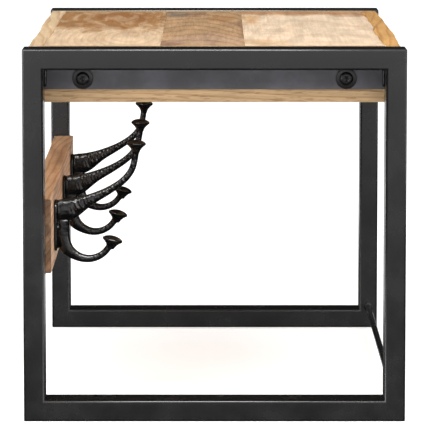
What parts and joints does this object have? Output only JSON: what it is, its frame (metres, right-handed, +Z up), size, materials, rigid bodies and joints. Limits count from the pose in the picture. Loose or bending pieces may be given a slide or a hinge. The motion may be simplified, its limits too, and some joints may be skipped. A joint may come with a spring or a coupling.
{
  "type": "entryway bench",
  "caption": "Low plank-topped bench on two steel tube loops, with a live-edged board of cast double coat hooks under one long side and a thin low stretcher under the other.",
  "frame": {"origin": "centre of the footprint, on the floor", "axes": "+Z up, +Y along the bench's length from the near loop to the far loop, +X from the hook board's side to the open side"},
  "size_m": [0.46, 0.8, 0.45],
  "materials": {
    "frame_black": "satin black powder coat",
    "fastener_black": "black finish",
    "hook_iron": "hammered cast iron with a semi-gloss black lacquer",
    "zinc_screw": "bright zinc",
    "brass_insert": "machined",
    "wood_left_seat_board": "clear matt lacquer, flame figure with dark streaks",
    "wood_middle_seat_board": "clear matt lacquer, darker heartwood",
    "wood_right_seat_board": "clear matt lacquer, pale with fine ripple streaks",
    "wood_left_edge_rail": "live edge, clear matt lacquer",
    "wood_right_edge_rail": "live edge, clear matt lacquer",
    "wood_apron": "clear matt lacquer, long grain",
    "wood_batten": "planed, unfinished",
    "wood_hook_board": "live top and bottom edges, clear matt lacquer",
    "wood_dowel": "fluted beech dowel, unfinished"
  },
  "bodies": {
    "root": {"far_board_bracket": "frame_black", "far_bottom_rail": "frame_black", "far_coat_hook": "hook_iron", "far_cross_batten": "wood_batten", "far_end_apron": "wood_apron", "far_hook_far_screw": "fastener_black", "far_hook_near_screw": "fastener_black", "far_left_batten_screw": "zinc_screw", "far_left_dowel": "wood_dowel", "far_left_leg": "frame_black", "far_left_seat_bolt": "fastener_black", "far_left_threaded_insert": "brass_insert", "far_left_washer": "fastener_black", "far_lower_bracket_screw": "fastener_black", "far_middle_batten_screw": "zinc_screw", "far_mounting_plate": "frame_black", "far_right_batten_screw": "zinc_screw", "far_right_dowel": "wood_dowel", "far_right_leg": "frame_black", "far_right_seat_bolt": "fastener_black", "far_right_threaded_insert": "brass_insert", "far_right_washer": "fastener_black", "far_top_rail": "frame_black", "far_upper_bracket_screw": "fastener_black", "hook_board": "wood_hook_board", "left_edge_rail": "wood_left_edge_rail", "left_seat_board": "wood_left_seat_board", "middle_coat_hook": "hook_iron", "middle_hook_far_screw": "fastener_black", "middle_hook_near_screw": "fastener_black", "middle_seat_board": "wood_middle_seat_board", "near_board_bracket": "frame_black", "near_bottom_rail": "frame_black", "near_coat_hook": "hook_iron", "near_cross_batten": "wood_batten", "near_end_apron": "wood_apron", "near_hook_far_screw": "fastener_black", "near_hook_near_screw": "fastener_black", "near_left_batten_screw": "zinc_screw", "near_left_dowel": "wood_dowel", "near_left_leg": "frame_black", "near_left_seat_bolt": "fastener_black", "near_left_threaded_insert": "brass_insert", "near_left_washer": "fastener_black", "near_lower_bracket_screw": "fastener_black", "near_middle_batten_screw": "zinc_screw", "near_mounting_plate": "frame_black", "near_right_batten_screw": "zinc_screw", "near_right_dowel": "wood_dowel", "near_right_leg": "frame_black", "near_right_seat_bolt": "fastener_black", "near_right_threaded_insert": "brass_insert", "near_right_washer": "fastener_black", "near_top_rail": "frame_black", "near_upper_bracket_screw": "fastener_black", "right_edge_rail": "wood_right_edge_rail", "right_seat_board": "wood_right_seat_board", "stretcher_rod": "frame_black"}
  },
  "joints": []
}
